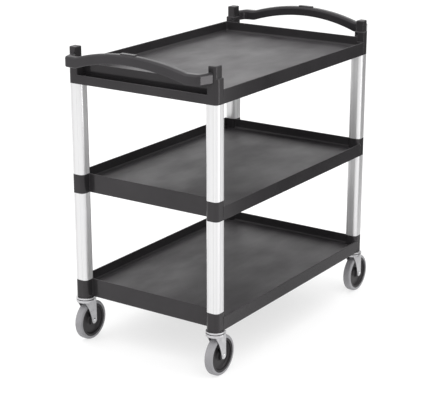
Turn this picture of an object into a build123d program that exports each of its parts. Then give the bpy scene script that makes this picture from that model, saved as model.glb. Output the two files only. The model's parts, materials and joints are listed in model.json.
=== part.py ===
from build123d import *
import os

# Three-tier serving trolley in millimetres: moulded trays on aluminium posts, on swivel casters
# The origin is on the floor under the middle, X runs along the length and Z points up

# Layout
post_spacing_x = 845.0
post_spacing_y = 495.0
shelf_pitch = 344.0

# Aluminium posts: rounded square tube with a fine groove at each end of its flats
post_side = 44.0
post_corner = 14.0
post_wall = 2.0
groove_width = 1.2
groove_depth = 0.5
post_fit = 0.2

# Trays, measured up from the underside of a shelf's corners
rim_height = 59.0
collar_rise = 1.0
low_rim_height = 42.5
end_wall_inset = 11.0
long_wall_lean = 2.0
tray_wall = 4.0
floor_height = 25.0
floor_thickness = 4.0
cove_radius = 9.0
rim_round = 1.5
spigot_length = 28.0
spigot_wall = 4.0
rib_thickness = 3.0
rib_depth = 12.0
ribs_along = 3
ribs_across = 7

# Top shelf: corner columns that carry the handles, and a low skirt across each end
column_depth_x = 33.0
column_depth_y = 35.0
column_height = 75.5
cap_depth_x = 31.0
cap_depth_y = 26.0
cap_inset = 5.0
cap_corner = 8.0
cap_height = 111.0
column_edge = 3.0
cap_round = 3.0
column_wall = 5.0
column_core_height = 56.0
skirt_height = 27.0
gutter_thickness = 3.0

# Handles, measured from the post axes: outward past the end, and inward along it
handle_corner_out = 72.0
handle_corner_in = 8.0
handle_corner_round = 14.0
handle_inner_round = 12.0
handle_reach = 85.5
grip_thickness = 25.0
arm_width = 18.0
arm_underside = 60.0
arm_depth = 33.0
crest_depth = 30.0
arch_rise = 32.5
arch_start = 50.0
arch_blend = 40.0
arm_top_flat = 2.0
grip_edge = 4.0
pad_length = 52.0
pad_width = 14.0
pad_height = 3.0
pad_corner = 3.0

# Handle screws
screw_diameter = 5.0
screw_head_diameter = 9.0
screw_head_height = 3.5
screw_head_recess = 5.0
screw_grip = 14.0
screw_height = 67.0
screw_inset = 3.0
screw_clearance = 0.25

# Caster stem and its socket
socket_diameter = 16.0
socket_length = 40.0
stem_diameter = 11.0
stem_length = 37.0
stem_clearance = 0.1
stem_chamfer = 1.5
king_pin_diameter = 10.0
swivel_clearance = 0.05

# Swivel head: upper race, balls, fork crown and lower race
race_diameter = 58.0
race_thickness = 6.0
race_round = 2.0
race_gap = 2.0
ball_diameter = 5.0
ball_circle = 40.0
ball_count = 14
ball_clearance = 0.3
lower_race_diameter = 26.0
lower_race_thickness = 2.5
lower_race_gap = 0.3
rivet_diameter = 16.0
rivet_thickness = 2.7
wheel_clearance = 5.5

# Fork
trail = 21.0
crown_thickness = 3.5
crown_skirt = 7.5
crown_skirt_wall = 2.5
leg_thickness = 2.5
leg_end_radius = 11.0
leg_setback = 7.0
leg_sweep = 4.7
leg_side_gap = 0.35
crown_round = 1.5

# Wheel
wheel_diameter = 127.0
tyre_width = 26.0
tyre_thickness = 10.0
tyre_shoulder = 6.0
rim_thickness = 6.5
rim_width = 22.0
web_thickness = 6.0
web_round = 6.0
hub_diameter = 30.0
hub_width = 28.0
bush_diameter = 12.0
axle_diameter = 8.0
axle_clearance = 0.05
axle_head_diameter = 12.0
axle_head_height = 2.6
axle_head_round = 1.6
axle_thread = 3.0
nut_across_flats = 13.0
nut_height = 6.5

# Derived places
corners = {
    "front_left": (-1, 1),
    "front_right": (-1, -1),
    "rear_left": (1, 1),
    "rear_right": (1, -1),
}
ends = {"front": -1, "rear": 1}
half_x = post_spacing_x / 2
half_y = post_spacing_y / 2
post_points = [(side_x * half_x, side_y * half_y) for side_x, side_y in corners.values()]
post_half = post_side / 2
collar_height = rim_height + collar_rise
rivet_drop = rivet_thickness + lower_race_thickness + lower_race_gap
head_height = rivet_drop + crown_thickness + race_gap + race_thickness
caster_height = wheel_diameter + wheel_clearance + head_height
bottom_base = caster_height
middle_base = bottom_base + shelf_pitch
top_base = middle_base + shelf_pitch
post_length = shelf_pitch - collar_height
post_bore = post_side - 2 * post_wall
spigot_side = post_bore - 2 * post_fit
spigot_corner = post_corner - post_wall - post_fit
spigot_bore = spigot_side - 2 * spigot_wall
spigot_bore_corner = spigot_corner - spigot_wall
tray_half_length = half_x - end_wall_inset
tray_inner_half_length = tray_half_length - tray_wall
floor_underside = floor_height - floor_thickness
foot_half_width = half_y + post_half
axle_height = wheel_diameter / 2
leg_inner = hub_width / 2 + 2 * leg_side_gap
leg_outer = leg_inner + leg_thickness
race_underside = caster_height - race_thickness
crown_top = race_underside - race_gap
crown_underside = crown_top - crown_thickness
ball_height = (race_underside + crown_top) / 2
rivet_top = crown_underside - lower_race_gap - lower_race_thickness

os.makedirs("parts", exist_ok=True)


def save(piece, name):
    """Label a finished piece and write it."""
    piece.label = name
    export_step(piece, f"parts/{name}.step")


def half_width(height):
    """Half the outside width of a tray, whose long walls lean out, at a height above its underside."""
    return foot_half_width + long_wall_lean * height / rim_height


def tray_block(low, high, half_length, inset):
    """A block right across a tray between two heights, held in from the sloping long walls."""
    low_half = half_width(low) - inset
    high_half = half_width(high) - inset
    with BuildPart() as block:
        with BuildSketch(Plane.YZ):
            with BuildLine():
                Polyline(
                    (-low_half, low),
                    (low_half, low),
                    (high_half, high),
                    (-high_half, high),
                    close=True,
                )
            make_face()
        extrude(amount=half_length, both=True)
    return block.part


def tray_hollow(around_collars):
    """The space inside a tray, with a cove round its floor, and clear of the corner collars."""
    with BuildPart() as hollow:
        add(tray_block(floor_height, collar_height, tray_inner_half_length, tray_wall))
        floor_edges = hollow.faces().sort_by(Axis.Z)[0].edges()
        corner_edges = hollow.edges().filter_by(lambda edge: abs(edge.tangent_at(0.5).Z) > 0.5)
        fillet(floor_edges + corner_edges, radius=cove_radius)
        if around_collars:
            with BuildSketch(Plane.XY.offset(floor_height)):
                with Locations(*post_points):
                    RectangleRounded(post_side, post_side, post_corner)
                with Locations(*[(x, y + (post_half if y > 0 else -post_half)) for x, y in post_points]):
                    Rectangle(post_side, post_side)
            extrude(amount=collar_height - floor_height, mode=Mode.SUBTRACT)
    return hollow.part


def tray_shell(around_collars):
    """Walls, floor and underside ribs of one tray, drawn with its underside at the origin."""
    cut_width = half_width(rim_height) - half_y
    rim_floor = (floor_height + cove_radius + low_rim_height) / 2
    with BuildPart() as shell:
        add(tray_block(0, rim_height, tray_half_length, 0))
        add(tray_hollow(around_collars), mode=Mode.SUBTRACT)
        add(tray_block(0, floor_underside, tray_inner_half_length, tray_wall), mode=Mode.SUBTRACT)
        # The long wall on the loading side is lower than the other three
        with BuildSketch(Plane.XY.offset(low_rim_height)):
            with Locations((0, -half_y - cut_width / 2)):
                Rectangle(2 * tray_half_length, cut_width)
        extrude(amount=collar_height - low_rim_height, mode=Mode.SUBTRACT)
        lengthwise = shell.edges().filter_by(Axis.X)
        long_rims = lengthwise.filter_by(lambda edge: edge.center().Z > rim_floor)
        end_rims = shell.edges().filter_by(Axis.Y).group_by(Axis.Z)[-1]
        fillet(long_rims + end_rims, radius=rim_round)
        rib_base = floor_underside - rib_depth
        rib_reach = half_width(rib_base) - tray_wall / 2
        with BuildSketch(Plane.XY.offset(rib_base)):
            with GridLocations(0, 2 * rib_reach / (ribs_along + 1), 1, ribs_along):
                Rectangle(2 * tray_inner_half_length + tray_wall, rib_thickness)
            with GridLocations(2 * tray_inner_half_length / (ribs_across + 1), 0, ribs_across, 1):
                Rectangle(rib_thickness, 2 * rib_reach)
        extrude(amount=rib_depth + floor_thickness / 2)
    return shell.part


def rounded_squares(points, side, corner):
    """Draw a rounded square round each of some points in the sketch being made."""
    with Locations(*points):
        RectangleRounded(side, side, corner)


collared_tray = tray_shell(True)

# Middle shelf: collars at its corners, with hollow spigots above and below for the posts
with BuildPart() as middle_shelf:
    add(collared_tray.moved(Location((0, 0, middle_base))))
    with BuildSketch(Plane.XY.offset(middle_base)):
        rounded_squares(post_points, post_side, post_corner)
    extrude(amount=collar_height)
    with BuildSketch(Plane.XY.offset(middle_base - spigot_length)):
        rounded_squares(post_points, spigot_side, spigot_corner)
    extrude(amount=collar_height + 2 * spigot_length)
    with BuildSketch(Plane.XY.offset(middle_base - spigot_length)):
        rounded_squares(post_points, spigot_bore, spigot_bore_corner)
    extrude(amount=collar_height + 2 * spigot_length, mode=Mode.SUBTRACT)
save(middle_shelf.part, "middle_shelf")

# Bottom shelf: spigots above, and a bore below for each caster socket
with BuildPart() as bottom_shelf:
    add(collared_tray.moved(Location((0, 0, bottom_base))))
    with BuildSketch(Plane.XY.offset(bottom_base)):
        rounded_squares(post_points, post_side, post_corner)
    extrude(amount=collar_height)
    with BuildSketch(Plane.XY.offset(bottom_base + collar_height)):
        rounded_squares(post_points, spigot_side, spigot_corner)
    extrude(amount=spigot_length)
    with BuildSketch(Plane.XY.offset(bottom_base + collar_height)):
        rounded_squares(post_points, spigot_bore, spigot_bore_corner)
    extrude(amount=spigot_length, mode=Mode.SUBTRACT)
    with BuildSketch(Plane.XY.offset(bottom_base)):
        with Locations(*post_points):
            Circle(socket_diameter / 2)
    extrude(amount=socket_length, mode=Mode.SUBTRACT)
save(bottom_shelf.part, "bottom_shelf")


def column(side_x, side_y, depth_x, depth_y, inset, corner, height):
    """One step of a corner column on the top shelf, flush with the post at the end of the trolley."""
    outer = (side_x * (half_x + post_half), side_y * (half_y + post_half - inset))
    with BuildPart() as block:
        with BuildSketch(Plane.XY.offset(top_base)) as outline:
            with Locations((outer[0] - side_x * depth_x / 2, outer[1] - side_y * depth_y / 2)):
                Rectangle(depth_x, depth_y)
            fillet(outline.vertices().sort_by_distance((*outer, 0))[0], radius=corner)
            fillet(outline.vertices().group_by(Axis.Y)[0 if side_y > 0 else -1], radius=column_edge)
        extrude(amount=height)
        fillet(block.faces().sort_by(Axis.Z)[-1].edges(), radius=cap_round)
    return block.part


screw_points = [(side_x, side_y * (half_y - screw_inset)) for side_x, side_y in corners.values()]
column_inner = half_x + post_half - column_depth_x
screw_head_seat = column_inner + screw_head_recess
screw_tip = half_x + post_half + screw_grip


def screw_plane(side_x, y, distance):
    """A plane across a handle screw at a distance from the middle, facing outward."""
    return Plane(
        origin=(side_x * distance, y, top_base + screw_height),
        x_dir=(0, 1, 0),
        z_dir=(side_x, 0, 0),
    )


# Top shelf: columns, end skirts and their gutters, spigots below, and the handle screw holes
with BuildPart() as top_shelf:
    add(tray_shell(False).moved(Location((0, 0, top_base))))
    with BuildSketch(Plane.XY.offset(top_base)):
        rounded_squares(post_points, post_side, post_corner)
    extrude(amount=floor_underside)
    for side_x, side_y in corners.values():
        add(column(side_x, side_y, column_depth_x, column_depth_y, 0, post_corner, column_height))
        add(column(side_x, side_y, cap_depth_x, cap_depth_y, cap_inset, cap_corner, cap_height))
    with BuildSketch(Plane.XY.offset(top_base)):
        for side_x in ends.values():
            with Locations((side_x * (half_x + post_half - tray_wall / 2), 0)):
                Rectangle(tray_wall, post_spacing_y)
    extrude(amount=skirt_height)
    gutter_width = post_half + end_wall_inset
    with BuildSketch(Plane.XY.offset(top_base)):
        for side_x in ends.values():
            with Locations((side_x * (half_x + post_half - gutter_width / 2), 0)):
                Rectangle(gutter_width, post_spacing_y)
    extrude(amount=gutter_thickness)
    with BuildSketch(Plane.XY.offset(top_base - spigot_length)):
        rounded_squares(post_points, spigot_side, spigot_corner)
    extrude(amount=spigot_length)
    with BuildSketch(Plane.XY.offset(top_base - spigot_length)):
        rounded_squares(post_points, spigot_bore, spigot_bore_corner)
    extrude(amount=spigot_length, mode=Mode.SUBTRACT)
    with BuildSketch(Plane.XY.offset(top_base)):
        for side_x, side_y in corners.values():
            core_x = side_x * (half_x + post_half - column_depth_x / 2)
            core_y = side_y * (half_y + post_half - column_depth_y / 2)
            with Locations((core_x, core_y)):
                Rectangle(column_depth_x - 2 * column_wall, column_depth_y - 2 * column_wall)
    extrude(amount=column_core_height, mode=Mode.SUBTRACT)
    for side_x, y in screw_points:
        with BuildSketch(screw_plane(side_x, y, column_inner)):
            Circle(screw_diameter / 2 + screw_clearance)
        extrude(amount=column_depth_x, mode=Mode.SUBTRACT)
        with BuildSketch(screw_plane(side_x, y, column_inner)):
            Circle(screw_head_diameter / 2 + screw_clearance)
        extrude(amount=screw_head_recess, mode=Mode.SUBTRACT)
save(top_shelf.part, "top_shelf")

# Handle screws: one through each column into the end of a handle arm
with BuildPart() as handle_screws:
    for side_x, y in screw_points:
        with BuildSketch(screw_plane(side_x, y, screw_head_seat - screw_head_height)):
            Circle(screw_head_diameter / 2)
        extrude(amount=screw_head_height)
        with BuildSketch(screw_plane(side_x, y, screw_head_seat)):
            Circle(screw_diameter / 2)
        extrude(amount=screw_tip - screw_head_seat)
save(handle_screws.part, "handle_screws")


def rim_edges(grip, facing):
    """The edges along the top or the underside of a handle, without those at its seats."""
    seat_edges = grip.faces().filter_by(Axis.X).edges()
    faces = grip.faces().filter_by(lambda face: facing * face.normal_at().Z > 0.5)
    return [edge for edge in faces.edges().filter_by(Axis.X, reverse=True) if edge not in seat_edges]


def handle(side_x):
    """An arched hand grip with an arm at each end, standing out past one end of the top shelf."""
    seat = half_x + post_half
    corner = half_x + handle_corner_out
    crown = half_x + handle_reach
    corner_y = half_y - handle_corner_in
    arm_outer = half_y + post_half - post_corner
    arm_slope = (arm_outer - corner_y) / (corner - seat)
    inner_corner = corner - grip_thickness
    arm_inner = arm_outer - arm_width
    inner_corner_y = arm_inner - arm_slope * (inner_corner - seat)
    low = top_base + arm_underside
    arm_top = low + arm_depth
    crest = low + arch_rise
    crest_top = crest + crest_depth
    arch_half = half_y - arch_start
    grip_round = (arm_width - arm_top_flat) / 2
    with BuildPart() as grip:
        # Seen from above: slanting arms, rounded corners and a slightly bowed grip
        with BuildSketch(Plane.XY.offset(top_base)) as plan:
            with BuildLine():
                Polyline((side_x * corner, corner_y), (side_x * seat, arm_outer), (side_x * seat, arm_inner),
                         (side_x * inner_corner, inner_corner_y))
                ThreePointArc((side_x * inner_corner, inner_corner_y),
                              (side_x * (crown - grip_thickness), 0),
                              (side_x * inner_corner, -inner_corner_y))
                Polyline((side_x * inner_corner, -inner_corner_y), (side_x * seat, -arm_inner),
                         (side_x * seat, -arm_outer), (side_x * corner, -corner_y))
                ThreePointArc((side_x * corner, -corner_y), (side_x * crown, 0), (side_x * corner, corner_y))
            make_face()
            inner_bends = plan.vertices().group_by(Axis.X)[1]
            fillet(inner_bends, radius=handle_inner_round)
            outer_bends = plan.vertices().group_by(Axis.X)[0 if side_x < 0 else -1]
            fillet(outer_bends, radius=handle_corner_round)
        extrude(amount=2 * cap_height)
        # Seen from the end: level arms and an arch between them
        with BuildSketch(Plane.YZ) as elevation:
            with BuildLine():
                Polyline((arch_half, low), (arm_outer, low), (arm_outer, arm_top), (arch_half, arm_top))
                ThreePointArc((arch_half, arm_top), (0, crest_top), (-arch_half, arm_top))
                Polyline((-arch_half, arm_top), (-arm_outer, arm_top), (-arm_outer, low), (-arch_half, low))
                ThreePointArc((-arch_half, low), (0, crest), (arch_half, low))
            make_face()
            arch_ends = elevation.vertices().sort_by(Axis.X)[2:-2]
            fillet(arch_ends, radius=arch_blend)
        extrude(amount=crown, both=True, mode=Mode.INTERSECT)
        fillet(rim_edges(grip, 1), radius=grip_round)
        fillet(rim_edges(grip, -1), radius=grip_edge)
        # Plain raised pad on the crest
        with BuildSketch(Plane.XY.offset(crest_top - pad_height)):
            with Locations((side_x * (crown - grip_thickness / 2), 0)):
                RectangleRounded(pad_width, pad_length, pad_corner)
        extrude(amount=2 * pad_height)
        for point_x, y in screw_points:
            if point_x == side_x:
                with BuildSketch(screw_plane(side_x, y, seat)):
                    Circle(screw_diameter / 2)
                extrude(amount=screw_grip, mode=Mode.SUBTRACT)
    return grip.part


for name, side_x in ends.items():
    save(handle(side_x), f"{name}_handle")


def post(x, y, bottom):
    """One length of aluminium post."""
    flat_end = post_half - post_corner
    with BuildPart() as tube:
        with BuildSketch(Plane.XY.offset(bottom)):
            with Locations((x, y)):
                RectangleRounded(post_side, post_side, post_corner)
                RectangleRounded(post_bore, post_bore, post_corner - post_wall, mode=Mode.SUBTRACT)
                with PolarLocations(0, 4):
                    with Locations((post_half, flat_end), (post_half, -flat_end)):
                        Rectangle(2 * groove_depth, groove_width, mode=Mode.SUBTRACT)
        extrude(amount=post_length)
    return tube.part


for name, (x, y) in zip(corners, post_points):
    save(post(x, y, bottom_base + collar_height), f"lower_post_{name}")
    save(post(x, y, middle_base + collar_height), f"upper_post_{name}")

# Caster sockets: one tube in each corner of the bottom shelf
with BuildPart() as caster_sockets:
    with BuildSketch(Plane.XY.offset(bottom_base)):
        with Locations(*post_points):
            Circle(socket_diameter / 2)
            Circle(stem_diameter / 2 + stem_clearance, mode=Mode.SUBTRACT)
    extrude(amount=socket_length)
save(caster_sockets.part, "caster_sockets")

# Caster pieces, drawn once with the stem on the Z axis and the wheel behind it
with BuildPart() as caster_stem:
    with BuildSketch(Plane.XY.offset(race_underside)):
        Circle(stem_diameter / 2)
    extrude(amount=race_thickness + stem_length)
    chamfer(caster_stem.faces().sort_by(Axis.Z)[-1].edges(), length=stem_chamfer)
    with BuildSketch(Plane.XY.offset(rivet_top)):
        Circle(king_pin_diameter / 2)
    extrude(amount=race_underside - rivet_top)
    with BuildSketch(Plane.XY.offset(rivet_top - rivet_thickness)):
        Circle(rivet_diameter / 2)
    extrude(amount=rivet_thickness)

with BuildPart() as ball_path:
    with BuildSketch(Plane.XZ):
        with Locations((ball_circle / 2, ball_height)):
            Circle(ball_diameter / 2 + ball_clearance)
    revolve(axis=Axis.Z)

with BuildPart() as upper_race:
    with BuildSketch(Plane.XY.offset(race_underside)):
        Circle(race_diameter / 2)
        Circle(stem_diameter / 2, mode=Mode.SUBTRACT)
    extrude(amount=race_thickness)
    fillet(upper_race.edges().group_by(SortBy.LENGTH)[-1], radius=race_round)
    add(ball_path.part, mode=Mode.SUBTRACT)

with BuildPart() as swivel_balls:
    with PolarLocations(ball_circle / 2, ball_count):
        with Locations((0, 0, ball_height)):
            Sphere(ball_diameter / 2)

with BuildPart() as lower_race:
    with BuildSketch(Plane.XY.offset(rivet_top)):
        Circle(lower_race_diameter / 2)
        Circle(king_pin_diameter / 2, mode=Mode.SUBTRACT)
    extrude(amount=lower_race_thickness)

# Fork: a round crown with a turned-down edge, carried back over the wheel, and two tapering legs
crown_tail = trail + leg_end_radius
leg_top_front = race_diameter / 2 - leg_setback
leg_front_top = Vector(-leg_top_front, crown_top - crown_skirt)
leg_front_end = Vector(trail - leg_end_radius, axle_height)
leg_front = leg_front_end - leg_front_top
leg_bulge = Vector(-leg_front.Y, leg_front.X).normalized() * leg_sweep
leg_front_middle = (leg_front_top + leg_front_end) / 2 + leg_bulge
with BuildPart() as fork:
    with BuildSketch(Plane.XY.offset(crown_underside)):
        Circle(race_diameter / 2)
        with Locations((crown_tail / 2, 0)):
            Rectangle(crown_tail, 2 * leg_outer)
    extrude(amount=crown_thickness)
    with BuildSketch(Plane.XY.offset(crown_top - crown_skirt)):
        Circle(race_diameter / 2)
        Circle(race_diameter / 2 - crown_skirt_wall, mode=Mode.SUBTRACT)
    extrude(amount=crown_skirt)
    for near_side in (leg_inner, -leg_outer):
        with BuildSketch(Plane.XZ.offset(near_side)):
            with BuildLine():
                Polyline(leg_front_top, (-leg_top_front, crown_top), (crown_tail, crown_top),
                         (crown_tail, axle_height), leg_front_end)
                ThreePointArc(leg_front_end, leg_front_middle, leg_front_top)
            make_face()
            with Locations((trail, axle_height)):
                Circle(leg_end_radius)
                Circle(axle_diameter / 2, mode=Mode.SUBTRACT)
        extrude(amount=leg_thickness)
    fillet(fork.faces().sort_by(Axis.Z)[-1].edges(), radius=crown_round)
    with BuildSketch(Plane.XY.offset(crown_underside)):
        Circle(king_pin_diameter / 2 + swivel_clearance)
    extrude(amount=crown_thickness, mode=Mode.SUBTRACT)
    add(ball_path.part, mode=Mode.SUBTRACT)

# Axle bolt with a low round head, and its nut, across the fork legs
axle_near = Plane(origin=(trail, -leg_outer, axle_height), x_dir=(1, 0, 0), z_dir=(0, 1, 0))
axle_far = axle_near.offset(2 * leg_outer)
with BuildPart() as axle_bolt:
    with BuildSketch(axle_near):
        Circle(axle_diameter / 2)
    extrude(amount=2 * leg_outer + nut_height + axle_thread)
    with BuildSketch(axle_near.offset(-axle_head_height)):
        Circle(axle_head_diameter / 2)
    extrude(amount=axle_head_height)
    fillet(axle_bolt.faces().sort_by(Axis.Y)[0].edges(), radius=axle_head_round)

with BuildPart() as axle_nut:
    with BuildSketch(axle_far):
        RegularPolygon(nut_across_flats / 2, 6, major_radius=False)
        Circle(axle_diameter / 2, mode=Mode.SUBTRACT)
    extrude(amount=nut_height)

# Wheel: bush, dished core and tyre, turned about the axle
axle_line = Axis((trail, 0, axle_height), (0, 1, 0))
wheel_section = Plane(origin=(trail, 0, axle_height), x_dir=(0, 1, 0), z_dir=(1, 0, 0))
tread_radius = wheel_diameter / 2
rim_radius = tread_radius - tyre_thickness
web_outer = rim_radius - rim_thickness

with BuildPart() as wheel_bush:
    with BuildSketch(axle_near.offset(leg_thickness + leg_side_gap)):
        Circle(bush_diameter / 2)
        Circle(axle_diameter / 2 + axle_clearance, mode=Mode.SUBTRACT)
    extrude(amount=hub_width + 2 * leg_side_gap)

with BuildPart() as wheel_core:
    with BuildSketch(wheel_section) as core_section:
        with Locations((0, (bush_diameter + hub_diameter) / 4)):
            Rectangle(hub_width, (hub_diameter - bush_diameter) / 2)
        with Locations((0, (bush_diameter / 2 + rim_radius) / 2)):
            Rectangle(web_thickness, rim_radius - bush_diameter / 2)
        with Locations((0, (web_outer + rim_radius) / 2)):
            Rectangle(rim_width, rim_radius - web_outer)
        web_corners = core_section.vertices().filter_by_position(Axis.X, -web_thickness, web_thickness)
        fillet(web_corners, radius=web_round)
    revolve(axis=axle_line)

with BuildPart() as tyre:
    with BuildSketch(wheel_section) as tyre_section:
        with Locations((0, (rim_radius + tread_radius) / 2)):
            Rectangle(tyre_width, tyre_thickness)
        fillet(tyre_section.vertices().group_by(Axis.Y)[-1], radius=tyre_shoulder)
    revolve(axis=axle_line)

caster_pieces = {
    "caster_stem": caster_stem,
    "upper_race": upper_race,
    "swivel_balls": swivel_balls,
    "lower_race": lower_race,
    "fork": fork,
    "axle_bolt": axle_bolt,
    "axle_nut": axle_nut,
    "wheel_bush": wheel_bush,
    "wheel_core": wheel_core,
    "tyre": tyre,
}
for corner, (x, y) in zip(corners, post_points):
    for name, piece in caster_pieces.items():
        save(piece.part.moved(Location((x, y, 0))), f"{name}_{corner}")
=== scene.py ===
import json
import math

import bmesh
import bpy
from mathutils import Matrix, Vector

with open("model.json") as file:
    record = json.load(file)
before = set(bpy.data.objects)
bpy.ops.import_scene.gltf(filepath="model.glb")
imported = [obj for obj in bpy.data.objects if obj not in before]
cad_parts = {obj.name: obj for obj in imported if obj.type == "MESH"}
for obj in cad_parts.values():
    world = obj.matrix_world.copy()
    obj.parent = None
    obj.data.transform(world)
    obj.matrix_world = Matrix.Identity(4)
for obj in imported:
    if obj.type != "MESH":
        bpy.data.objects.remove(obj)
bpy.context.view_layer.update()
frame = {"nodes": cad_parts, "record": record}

# Camera, fitted to the post edges in the photograph: angles in degrees, lengths in metres
camera_azimuth = -56.06
camera_elevation = 17.88
camera_distance = 4.4306
camera_sideways = -0.0167
camera_target_height = 0.375
camera_lens_mm = 111.39
camera_sensor_mm = 36.0

# Studio: the floor's width in metres, and the strengths of the light from all round and from the floor
floor_size = 60.0
sky_strength = 1.16
floor_glow = 0.62
white = (1.0, 1.0, 1.0, 1.0)

# Dark card, in metres: the upright stands at card_y, and the foot reaches from there to card_foot_y
card_y = -0.9
card_foot_y = -0.42
card_lift = 0.004
card_top = 1.0
# Along X the upright fades in from card_near to card_whole, and it ends at card_far
card_near = 0.35
card_whole = 0.75
card_far = 4.5
# How far the foot's near edge moves towards -X for each metre towards the trolley
card_slant = 1.48
card_foot_density = 0.5

# The range that most values of a noise texture lie in
noise_low = 0.3
noise_high = 0.7

# Places of the colour sockets of a Mix node, which has several sockets of each name
mix_first = 6
mix_second = 7
mix_result = 2

bevel_samples = 6


def add_node(tree, kind, inputs=None, **settings):
    """Add a shader node with its settings and the constants on its sockets."""
    node = tree.nodes.new(kind)
    for name, value in settings.items():
        setattr(node, name, value)
    for name, value in (inputs or {}).items():
        node.inputs[name].default_value = value
    return node


def start_material(name, **constants):
    """A new material with a Principled shader; returns the material, its tree and the shader."""
    material = bpy.data.materials.new(name)
    material.use_nodes = True
    tree = material.node_tree
    shader = tree.nodes["Principled BSDF"]
    for socket, value in constants.items():
        shader.inputs[socket.replace("_", " ")].default_value = value
    return material, tree, shader


def noise(tree, scale, stretch=(1.0, 1.0, 1.0), detail=3.0, roughness=0.55):
    """Noise in the object's own metres, stretched along its axes; returns the value socket."""
    place = add_node(tree, "ShaderNodeTexCoord")
    mapping = add_node(tree, "ShaderNodeMapping", {"Scale": stretch})
    constants = {"Scale": scale, "Detail": detail, "Roughness": roughness}
    texture = add_node(tree, "ShaderNodeTexNoise", constants)
    tree.links.new(place.outputs["Object"], mapping.inputs["Vector"])
    tree.links.new(mapping.outputs["Vector"], texture.inputs["Vector"])
    return texture.outputs["Fac"]


def spread(tree, value, low, high, lowest=noise_low, highest=noise_high):
    """Map a value that runs from lowest to highest onto low to high."""
    constants = {"From Min": lowest, "From Max": highest, "To Min": low, "To Max": high}
    ranged = add_node(tree, "ShaderNodeMapRange", constants)
    tree.links.new(value, ranged.inputs["Value"])
    return ranged.outputs["Result"]


def tint(tree, value, dark, light):
    """Map a noise value onto a run between two colours."""
    ramp = add_node(tree, "ShaderNodeValToRGB")
    ramp.color_ramp.elements[0].position = noise_low
    ramp.color_ramp.elements[0].color = (*dark, 1.0)
    ramp.color_ramp.elements[1].position = noise_high
    ramp.color_ramp.elements[1].color = (*light, 1.0)
    tree.links.new(value, ramp.inputs["Fac"])
    return ramp.outputs["Color"]


def combined(tree, operation, first, second):
    """The sum or product of two values; returns the value socket."""
    result = add_node(tree, "ShaderNodeMath", operation=operation)
    tree.links.new(first, result.inputs[0])
    tree.links.new(second, result.inputs[1])
    return result.outputs["Value"]


def mixed(tree, factor, first, second):
    """A colour that goes from the first to the second as the factor goes from 0 to 1."""
    mix = add_node(tree, "ShaderNodeMix", data_type="RGBA")
    tree.links.new(factor, mix.inputs["Factor"])
    tree.links.new(first, mix.inputs[mix_first])
    tree.links.new(second, mix.inputs[mix_second])
    return mix.outputs[mix_result]


def soft_edges(tree, radius):
    """A normal that rounds sharp edges over a small radius."""
    bevel = add_node(tree, "ShaderNodeBevel", {"Radius": radius}, samples=bevel_samples)
    return bevel.outputs["Normal"]


def bump(tree, height, normal, strength, distance):
    """A bump over another normal, or over the plain one; returns the normal socket."""
    raised = add_node(tree, "ShaderNodeBump", {"Strength": strength, "Distance": distance})
    tree.links.new(height, raised.inputs["Height"])
    if normal is not None:
        tree.links.new(normal, raised.inputs["Normal"])
    return raised.outputs["Normal"]


def level_faces(tree, high, steep, flat):
    """A value that goes from 0 to high as the upward part of the normal goes from steep to flat."""
    place = add_node(tree, "ShaderNodeTexCoord")
    axes = add_node(tree, "ShaderNodeSeparateXYZ")
    tree.links.new(place.outputs["Normal"], axes.inputs["Vector"])
    return spread(tree, axes.outputs["Z"], low=0.0, high=high, lowest=steep, highest=flat)


def edge_wear_and_highlight(tree, radius, most):
    """A value that is 0 on plain faces and rises in patches along sharp edges."""
    surface = add_node(tree, "ShaderNodeNewGeometry")
    agreement = add_node(tree, "ShaderNodeVectorMath", operation="DOT_PRODUCT")
    tree.links.new(soft_edges(tree, radius), agreement.inputs[0])
    tree.links.new(surface.outputs["Normal"], agreement.inputs[1])
    along = spread(tree, agreement.outputs["Value"], low=most, high=0.0, lowest=0.75, highest=0.99)
    patches = spread(tree, noise(tree, scale=18.0, detail=5.0), low=0.4, high=1.0)
    return combined(tree, "MULTIPLY", along, patches)


def brighter(colour, times):
    """A colour made lighter, held within 1."""
    return [min(1.0, times * channel) for channel in colour]


def moulded_plastic(name, dark, light, scuff_and_painted_top_light, edge, smooth, rough, floor_rough, grain_depth):
    """Satin moulded plastic: fine grain, cloudy gloss, lighter edges for wear and a painted highlight,
    and coarser level faces with a lighter colour for scuffs and painted top light.
    """
    material, tree, shader = start_material(
        name,
        Specular_IOR_Level=0.27,
        Specular_Tint=(1.0, 0.955, 0.985, 1.0),
    )
    cloud = noise(tree, scale=7.0)
    drawn = noise(tree, scale=3.0, stretch=(1.0, 6.0, 6.0))
    grain = noise(tree, scale=900.0, detail=2.0)
    blotch = noise(tree, scale=5.0, stretch=(1.0, 1.6, 1.0), detail=4.0)

    # Level faces take a lighter, streaked colour: scuffs, and painted light falling from above
    level = level_faces(tree, high=1.0, steep=0.9, flat=0.99)
    plain = mixed(tree, level, tint(tree, cloud, dark, light), tint(tree, drawn, light, scuff_and_painted_top_light))
    # Edges take a lighter colour: rubbed wear, and a painted highlight along rims and corners
    rubbed_and_highlit = tint(tree, cloud, edge, brighter(edge, times=1.25))
    colour = mixed(tree, edge_wear_and_highlight(tree, radius=0.003, most=1.0), plain, rubbed_and_highlit)
    tree.links.new(colour, shader.inputs["Base Color"])

    coarser = level_faces(tree, high=floor_rough, steep=0.05, flat=0.6)
    uneven = combined(tree, "MULTIPLY", coarser, spread(tree, blotch, low=0.8, high=1.16))
    total = combined(tree, "ADD", spread(tree, drawn, smooth, rough), uneven)
    tree.links.new(total, shader.inputs["Roughness"])

    rounded = soft_edges(tree, radius=0.0012)
    normal = bump(tree, grain, rounded, strength=0.25, distance=grain_depth)
    tree.links.new(normal, shader.inputs["Normal"])
    return material


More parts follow.
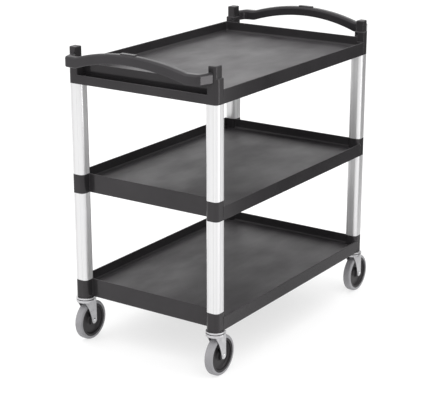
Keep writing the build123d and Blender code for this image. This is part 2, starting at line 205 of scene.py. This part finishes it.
def extruded_aluminium(name, dark, light, smooth, rough):
    """Satin anodised extrusion with fine lines along its length."""
    material, tree, shader = start_material(name, Metallic=0.75)
    lines = noise(tree, scale=260.0, stretch=(1.0, 1.0, 0.002), roughness=0.6)
    cloud = noise(tree, scale=24.0, stretch=(1.0, 1.0, 0.2))
    tree.links.new(tint(tree, lines, dark, light), shader.inputs["Base Color"])
    tree.links.new(spread(tree, cloud, smooth, rough), shader.inputs["Roughness"])
    normal = bump(tree, lines, None, strength=0.08, distance=0.0001)
    tree.links.new(normal, shader.inputs["Normal"])
    return material


def plated_metal(name, dark, light, smooth, rough, grain_scale):
    """Plated steel with a mottled sheen and worn edges."""
    material, tree, shader = start_material(name, Metallic=1.0)
    mottle = noise(tree, scale=60.0, detail=5.0, roughness=0.65)
    grain = noise(tree, scale=grain_scale)
    rubbed_and_highlit = tint(tree, mottle, light, brighter(light, times=1.2))
    worn = edge_wear_and_highlight(tree, radius=0.0015, most=0.8)
    colour = mixed(tree, worn, tint(tree, mottle, dark, light), rubbed_and_highlit)
    tree.links.new(colour, shader.inputs["Base Color"])
    tree.links.new(spread(tree, mottle, smooth, rough), shader.inputs["Roughness"])
    normal = bump(tree, grain, soft_edges(tree, radius=0.0008), strength=0.15, distance=0.0001)
    tree.links.new(normal, shader.inputs["Normal"])
    return material


def rubber(name, dark, light, smooth, rough):
    """Light grey rubber with a dusty bloom and a fine grain."""
    material, tree, shader = start_material(name, Specular_IOR_Level=0.35)
    cloud = noise(tree, scale=28.0, detail=5.0)
    grain = noise(tree, scale=1400.0, detail=2.0)
    tree.links.new(tint(tree, cloud, dark, light), shader.inputs["Base Color"])
    tree.links.new(spread(tree, cloud, smooth, rough), shader.inputs["Roughness"])
    normal = bump(tree, grain, soft_edges(tree, radius=0.0008), strength=0.2, distance=0.0001)
    tree.links.new(normal, shader.inputs["Normal"])
    return material


def floor_material():
    """Pale matt floor with a faint unevenness, lit from below as a light table is."""
    material, tree, shader = start_material(
        "pale_floor",
        Roughness=0.9,
        Specular_IOR_Level=0.1,
        Emission_Color=white,
        Emission_Strength=floor_glow,
    )
    cloud = noise(tree, scale=1.5)
    colour = tint(tree, cloud, dark=(0.39, 0.39, 0.39), light=(0.41, 0.41, 0.41))
    tree.links.new(colour, shader.inputs["Base Color"])
    return material


def card_material():
    """Dark matt card that fades in from its near edge and is thinner on its foot."""
    material, tree, shader = start_material("dark_card", Roughness=0.9)
    cloud = noise(tree, scale=3.0)
    colour = tint(tree, cloud, dark=(0.02, 0.02, 0.02), light=(0.03, 0.03, 0.03))
    tree.links.new(colour, shader.inputs["Base Color"])

    place = add_node(tree, "ShaderNodeTexCoord")
    along = add_node(tree, "ShaderNodeVectorMath", operation="DOT_PRODUCT")
    along.inputs[1].default_value = (1.0, card_slant, 0.0)
    tree.links.new(place.outputs["Object"], along.inputs[0])
    edge = card_slant * card_y
    fade = spread(tree, along.outputs["Value"], low=0.0, high=1.0,
                  lowest=card_near + edge, highest=card_whole + edge)

    axes = add_node(tree, "ShaderNodeSeparateXYZ")
    tree.links.new(place.outputs["Object"], axes.inputs["Vector"])
    density = spread(tree, axes.outputs["Z"], low=card_foot_density, high=1.0,
                     lowest=card_lift, highest=2 * card_lift)
    tree.links.new(combined(tree, "MULTIPLY", fade, density), shader.inputs["Alpha"])
    return material


def panel(name, place, aim, width, height, power):
    """A soft rectangular light panel, sized in metres and lit in watts."""
    light = bpy.data.lights.new(name, "AREA")
    light.shape = "RECTANGLE"
    light.size = width
    light.size_y = height
    light.energy = power
    holder = bpy.data.objects.new(name, light)
    holder.location = place
    holder.rotation_euler = (Vector(aim) - Vector(place)).to_track_quat("-Z", "Y").to_euler()
    holder.visible_camera = False
    bpy.context.scene.collection.objects.link(holder)


# One finish for each material slot of the record
# In the plastics, the level-face colour holds scuffs and painted top light, and the edge colour holds
# wear and a painted highlight
finishes = {
    "tray_plastic": moulded_plastic(
        "tray_black",
        dark=(0.0195, 0.0185, 0.0195),
        light=(0.0257, 0.0243, 0.0257),
        scuff_and_painted_top_light=(0.051, 0.0485, 0.051),
        edge=(0.07, 0.067, 0.07),
        smooth=0.09,
        rough=0.14,
        floor_rough=0.44,
        grain_depth=0.00006,
    ),
    "handle_plastic": moulded_plastic(
        "handle_black",
        dark=(0.0205, 0.0195, 0.021),
        light=(0.0275, 0.0262, 0.028),
        scuff_and_painted_top_light=(0.031, 0.0295, 0.031),
        edge=(0.08, 0.077, 0.08),
        smooth=0.09,
        rough=0.14,
        floor_rough=0.36,
        grain_depth=0.00006,
    ),
    "post_aluminium": extruded_aluminium(
        "post_satin",
        dark=(0.636, 0.634, 0.638),
        light=(0.716, 0.714, 0.718),
        smooth=0.34,
        rough=0.42,
    ),
    "zinc_pressing": plated_metal(
        "fork_zinc",
        dark=(0.44, 0.437, 0.45),
        light=(0.56, 0.557, 0.567),
        smooth=0.26,
        rough=0.4,
        grain_scale=700.0,
    ),
    "plated_steel": plated_metal(
        "bright_steel",
        dark=(0.55, 0.55, 0.56),
        light=(0.7, 0.7, 0.71),
        smooth=0.2,
        rough=0.34,
        grain_scale=1100.0,
    ),
    "black_screw": plated_metal(
        "screw_black",
        dark=(0.03, 0.03, 0.031),
        light=(0.05, 0.05, 0.052),
        smooth=0.4,
        rough=0.55,
        grain_scale=1100.0,
    ),
    "wheel_plastic": moulded_plastic(
        "wheel_black",
        dark=(0.0155, 0.0145, 0.0155),
        light=(0.0265, 0.025, 0.0265),
        scuff_and_painted_top_light=(0.03, 0.029, 0.03),
        edge=(0.04, 0.0385, 0.04),
        smooth=0.38,
        rough=0.5,
        floor_rough=0.0,
        grain_depth=0.0002,
    ),
    "bush_plastic": moulded_plastic(
        "bush_white",
        dark=(0.68, 0.68, 0.66),
        light=(0.78, 0.78, 0.76),
        scuff_and_painted_top_light=(0.8, 0.8, 0.78),
        edge=(0.72, 0.72, 0.7),
        smooth=0.35,
        rough=0.45,
        floor_rough=0.0,
        grain_depth=0.0001,
    ),
    "grey_tyre": rubber(
        "tyre_grey",
        dark=(0.215, 0.212, 0.222),
        light=(0.272, 0.269, 0.28),
        smooth=0.5,
        rough=0.68,
    ),
}
slot_of = {part["node"]: part["material_slot"] for part in frame["record"]["subparts"]}
for name, node_object in frame["nodes"].items():
    node_object.data.materials.clear()
    node_object.data.materials.append(finishes[slot_of[name]])

# Pale floor
floor_mesh = bpy.data.meshes.new("floor")
shape = bmesh.new()
bmesh.ops.create_grid(shape, x_segments=2, y_segments=2, size=floor_size / 2)
shape.to_mesh(floor_mesh)
shape.free()
floor_mesh.materials.append(floor_material())
floor = bpy.data.objects.new("floor", floor_mesh)
bpy.context.scene.collection.objects.link(floor)

# Dark folded card in front of the long side, which shows in reflections alone
card_corners = []
for fold_y, fold_z in ((card_foot_y, card_lift), (card_y, card_lift), (card_y, card_top)):
    slant = card_slant * (fold_y - card_y)
    card_corners.append((card_near - slant, fold_y, fold_z))
    card_corners.append((card_far - slant, fold_y, fold_z))
card_mesh = bpy.data.meshes.new("card")
card_mesh.from_pydata(card_corners, [], [(0, 1, 3, 2), (2, 3, 5, 4)])
card_mesh.materials.append(card_material())
card = bpy.data.objects.new("card", card_mesh)
card.visible_camera = False
card.visible_diffuse = False
card.visible_shadow = False
bpy.context.scene.collection.objects.link(card)

# Soft light from all round, with large panels above, to the left, behind and in front
world = bpy.data.worlds.new("studio")
world.use_nodes = True
background = world.node_tree.nodes["Background"]
background.inputs["Color"].default_value = white
background.inputs["Strength"].default_value = sky_strength
bpy.context.scene.world = world
bpy.context.scene.view_settings.view_transform = "Standard"
panel("overhead", place=(-0.8, -0.3, 3.6), aim=(0.1, 0.0, 0.5), width=4.0, height=4.0, power=52.0)
panel("left", place=(-4.2, 0.6, 2.6), aim=(0.0, 0.0, 0.5), width=3.0, height=3.0, power=30.0)
panel("behind", place=(3.2, 2.2, 3.0), aim=(0.0, 0.0, 0.8), width=3.0, height=3.0, power=36.0)
panel("front", place=(0.8, -3.2, 0.95), aim=(-0.42, -0.25, 0.95), width=0.9, height=1.8, power=26.0)

# Camera
azimuth = math.radians(camera_azimuth)
elevation = math.radians(camera_elevation)
back = Vector((
    math.sin(azimuth) * math.cos(elevation),
    -math.cos(azimuth) * math.cos(elevation),
    math.sin(elevation),
))
right = Vector((math.cos(azimuth), math.sin(azimuth), 0.0))
target = right * camera_sideways + Vector((0.0, 0.0, camera_target_height))
camera_data = bpy.data.cameras.new("camera")
camera_data.sensor_fit = "HORIZONTAL"
camera_data.sensor_width = camera_sensor_mm
camera_data.lens = camera_lens_mm
camera_data.clip_end = floor_size
camera = bpy.data.objects.new("camera", camera_data)
camera.location = target + back * camera_distance
camera.rotation_euler = back.to_track_quat("Z", "Y").to_euler()
bpy.context.scene.collection.objects.link(camera)
bpy.context.scene.camera = camera
